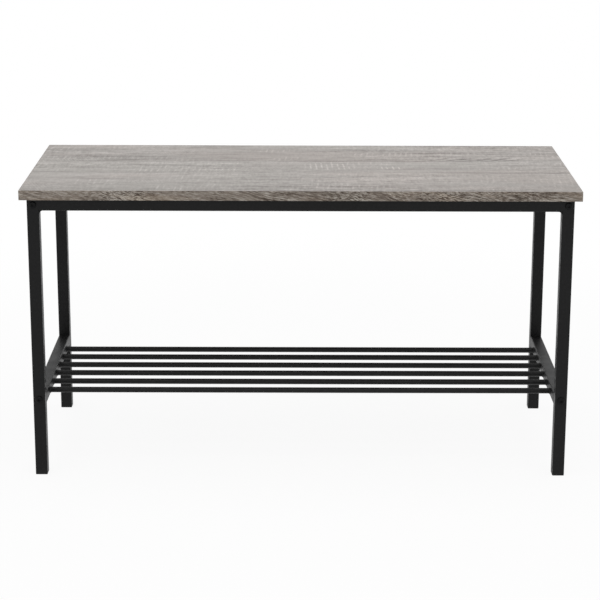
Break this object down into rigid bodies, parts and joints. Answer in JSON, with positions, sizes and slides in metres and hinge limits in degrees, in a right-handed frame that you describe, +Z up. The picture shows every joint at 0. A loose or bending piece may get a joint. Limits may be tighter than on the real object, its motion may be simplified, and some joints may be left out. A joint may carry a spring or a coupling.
{
  "type": "entryway bench",
  "caption": "Low entryway bench: a grey wood-grain board seat on a black square-tube steel frame, with a shelf of round rods below for shoes.",
  "frame": {"origin": "on the floor, under the centre of the seat board", "axes": "+X along the bench to the right as seen from the front, +Y from front to back, +Z up"},
  "size_m": [0.915, 0.38, 0.494],
  "materials": {
    "chipboard": "raw pressed chipboard",
    "seat_print": "matte grey-washed oak print, grain along the bench",
    "edge_print": "matte browner oak print",
    "underside_foil": "plain matte grey balancing foil",
    "frame_paint": "black satin powder coat",
    "rod_paint": "black satin powder coat",
    "bolt_black": "black zinc, slightly glossier than the frame",
    "plate_steel": "bare steel",
    "screw_steel": "zinc plated",
    "foot_plastic": "black moulded plastic"
  },
  "bodies": {
    "root": {"seat_board_core": "chipboard", "seat_top_foil": "seat_print", "seat_underside_foil": "underside_foil", "edge_band_front": "edge_print", "edge_band_back": "edge_print", "edge_band_left": "edge_print", "edge_band_right": "edge_print", "front_left_leg": "frame_paint", "front_right_leg": "frame_paint", "back_left_leg": "frame_paint", "back_right_leg": "frame_paint", "front_seat_rail": "frame_paint", "back_seat_rail": "frame_paint", "left_seat_rail": "frame_paint", "right_seat_rail": "frame_paint", "left_shelf_rail": "frame_paint", "right_shelf_rail": "frame_paint", "shelf_rod_1": "rod_paint", "shelf_rod_2": "rod_paint", "shelf_rod_3": "rod_paint", "shelf_rod_4": "rod_paint", "shelf_rod_5": "rod_paint", "shelf_rod_6": "rod_paint", "shelf_rod_welds": "frame_paint", "front_frame_welds": "frame_paint", "back_frame_welds": "frame_paint", "seat_rail_bolts": "bolt_black", "shelf_rail_bolts": "bolt_black", "seat_rail_nut_plates": "plate_steel", "shelf_rail_nut_plates": "plate_steel", "seat_board_screws": "screw_steel", "front_left_foot_plug": "foot_plastic", "front_right_foot_plug": "foot_plastic", "back_left_foot_plug": "foot_plastic", "back_right_foot_plug": "foot_plastic"}
  },
  "joints": []
}
